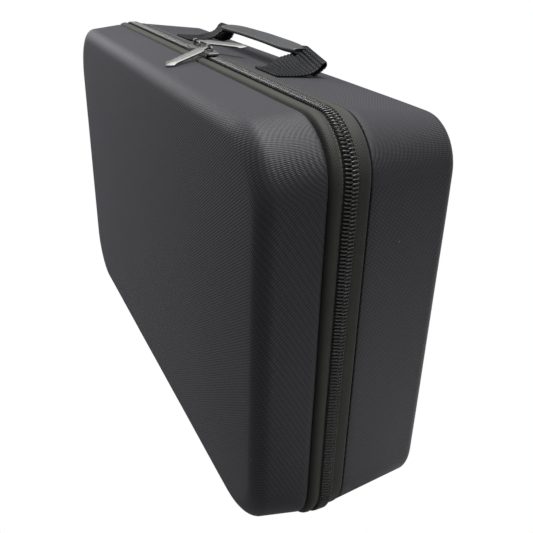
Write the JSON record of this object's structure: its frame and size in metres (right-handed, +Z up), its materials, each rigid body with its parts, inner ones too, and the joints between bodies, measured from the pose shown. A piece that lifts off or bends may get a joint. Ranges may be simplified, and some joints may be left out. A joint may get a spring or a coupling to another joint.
{
  "type": "miniature carry case",
  "caption": "Hard-shell zippered carry case for game miniatures, with a folding fabric lid, foam trays, two zip sliders with pulls and a top carry handle.",
  "frame": {"origin": "on the ground under the middle of the case as it stands on its hinge side, midway between the lid's face and the tub's face", "axes": "+Z up towards the handle, X along the case's length, -Y out of the lid's face, +Y out of the tub's face"},
  "size_m": [0.416, 0.1138, 0.2663],
  "materials": {
    "shell_fabric": "woven nylon over moulded foam",
    "lining_fabric": "brushed knit",
    "zip_tape": "herringbone woven tape",
    "zip_coil": "moulded nylon coil",
    "rim_binding": "grosgrain binding",
    "zip_metal": "gunmetal plated zinc, worn bright on the edges",
    "handle_sleeve": "matte smooth sleeve",
    "webbing": "ribbed polypropylene webbing",
    "backing_plate": "moulded",
    "foam": "open-cell foam"
  },
  "bodies": {
    "tub": {"tub_shell": "shell_fabric", "tub_lining": "lining_fabric", "tub_zip_tape": "zip_tape", "tub_zip_coil": "zip_coil", "tub_rim_binding": "rim_binding", "fabric_hinge": "zip_tape", "zip_end_tab_left": "zip_tape", "zip_end_tab_right": "zip_tape", "handle_backing_plate": "backing_plate", "strap_tail_left": "webbing", "strap_tail_right": "webbing", "foam_base_pad": "foam", "foam_sheet_left": "foam", "foam_grid_left": "foam", "foam_sheet_right": "foam", "foam_grid_right": "foam"},
    "lid": {"lid_shell": "shell_fabric", "lid_lining": "lining_fabric", "lid_zip_tape": "zip_tape", "lid_zip_coil": "zip_coil", "lid_rim_binding": "rim_binding", "foam_lid_pad": "foam"},
    "slider_left": {"zip_slider_left": "zip_metal"},
    "slider_right": {"zip_slider_right": "zip_metal"},
    "pull_left": {"zip_pull_left": "zip_metal"},
    "pull_right": {"zip_pull_right": "zip_metal"},
    "handle": {"handle_grip": "handle_sleeve", "handle_strap_left": "webbing", "handle_strap_right": "webbing"}
  },
  "joints": [
    {"name": "lid_hinge", "type": "hinge", "parent": "tub", "child": "lid", "pos_m": [0, -0.01145, 0], "axis": [1, 0, 0], "range_deg": [0, 175]},
    {"name": "slider_left_run", "type": "slide", "parent": "lid", "child": "slider_left", "axis": [1, 0, 0], "range_m": [-0.045, 0]},
    {"name": "slider_right_run", "type": "slide", "parent": "lid", "child": "slider_right", "axis": [1, 0, 0], "range_m": [0, 0.13]},
    {"name": "pull_left_swing", "type": "hinge", "parent": "slider_left", "child": "pull_left", "pos_m": [-0.0075, -0.01145, 0.26015], "axis": [1, 0, 0], "range_deg": [0, 95]},
    {"name": "pull_right_swing", "type": "hinge", "parent": "slider_right", "child": "pull_right", "pos_m": [0.0195, -0.01145, 0.26015], "axis": [-1, 0, 0], "range_deg": [0, 100]},
    {"name": "handle_lift", "type": "hinge", "parent": "tub", "child": "handle", "pos_m": [0, 0.00655, 0.25319], "axis": [1, 0, 0], "range_deg": [0, 72]}
  ]
}
